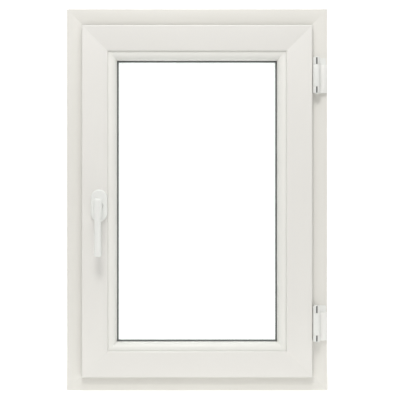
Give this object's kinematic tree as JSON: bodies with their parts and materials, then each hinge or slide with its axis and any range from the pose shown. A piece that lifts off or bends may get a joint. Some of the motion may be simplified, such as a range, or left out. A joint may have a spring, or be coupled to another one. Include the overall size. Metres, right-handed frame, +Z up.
{
  "type": "casement window",
  "caption": "Side-hung casement window: welded white plastic frame and sash, double glazing, turn handle with espagnolette lock and knuckle hinges.",
  "frame": {"origin": "middle of the outer frame's underside, half way through its depth", "axes": "+X from the handle side to the hinge side, -Y towards the room, +Y outside, +Z up"},
  "size_m": [0.57, 0.1423, 0.835],
  "materials": {
    "pvc_white": "smooth extruded satin",
    "pvc_sash_white": "smooth extruded satin",
    "bead_white": "smooth extruded satin",
    "white_lacquer": "white powder coat",
    "white_moulding": "fine moulded",
    "seal_rubber": "matt",
    "float_glass": "clear float",
    "spacer_aluminium": "mill with perforations",
    "butyl_sealant": "matt",
    "packer_plastic": "moulded",
    "galvanised_steel": "galvanised",
    "zinc_plated_steel": "zinc plated",
    "screw_steel": "zinc plated",
    "cam_steel": "bright",
    "gear_steel": "sintered",
    "hinge_pin_steel": "ground",
    "bush_plastic": "moulded"
  },
  "bodies": {
    "frame": {"frame_head": "pvc_white", "frame_sill": "pvc_white", "frame_jamb_handle": "pvc_white", "frame_jamb_hinge": "pvc_white", "frame_reinforcements": "galvanised_steel", "frame_gasket": "seal_rubber", "drainage_caps": "white_moulding", "striker_plates": "zinc_plated_steel", "striker_screws": "screw_steel", "upper_hinge_frame_leaf": "white_lacquer", "upper_hinge_cover": "white_moulding", "upper_hinge_pin": "hinge_pin_steel", "lower_hinge_frame_leaf": "white_lacquer", "lower_hinge_cover": "white_moulding", "lower_hinge_pin": "hinge_pin_steel", "hinge_frame_screws": "screw_steel"},
    "sash": {"sash_top_rail": "pvc_sash_white", "sash_bottom_rail": "pvc_sash_white", "sash_stile_handle": "pvc_sash_white", "sash_stile_hinge": "pvc_sash_white", "sash_reinforcements": "galvanised_steel", "sash_gasket": "seal_rubber", "glazing_gasket_outer": "seal_rubber", "glazing_gasket_inner": "seal_rubber", "glazing_bead_top": "bead_white", "glazing_bead_bottom": "bead_white", "glazing_bead_left": "bead_white", "glazing_bead_right": "bead_white", "glass_inner_pane": "float_glass", "glass_outer_pane": "float_glass", "spacer_bar": "spacer_aluminium", "edge_sealant": "butyl_sealant", "glazing_packers": "packer_plastic", "espagnolette_faceplate": "zinc_plated_steel", "faceplate_screws": "screw_steel", "gear_case": "zinc_plated_steel", "gear_case_rivets": "screw_steel", "handle_rosette_base": "white_moulding", "handle_rosette_cover": "white_lacquer", "handle_screws": "screw_steel", "upper_hinge_sash_leaf": "white_lacquer", "lower_hinge_sash_leaf": "white_lacquer", "hinge_bushes": "bush_plastic", "hinge_sash_screws": "screw_steel"},
    "handle": {"handle_lever": "white_lacquer", "handle_spindle": "screw_steel", "handle_retaining_ring": "screw_steel", "gear_pinion": "gear_steel"},
    "drive_rod": {"drive_rod": "zinc_plated_steel", "locking_cams": "cam_steel"}
  },
  "joints": [
    {"name": "sash_swing", "type": "hinge", "parent": "frame", "child": "sash", "pos_m": [0.26, -0.051, 0.4175], "axis": [0, 0, 1], "range_deg": [0, 100]},
    {"name": "handle_turn", "type": "hinge", "parent": "sash", "child": "handle", "pos_m": [-0.213, -0.051, 0.405], "axis": [0, -1, 0], "range_deg": [0, 90]},
    {"name": "drive_rod_slide", "type": "slide", "parent": "sash", "child": "drive_rod", "axis": [0, 0, -1], "range_m": [0, 0.0165]}
  ],
  "couplings": [
    {"joint": "drive_rod_slide", "follows": "handle_turn", "m_per_rad": 0.0105}
  ]
}
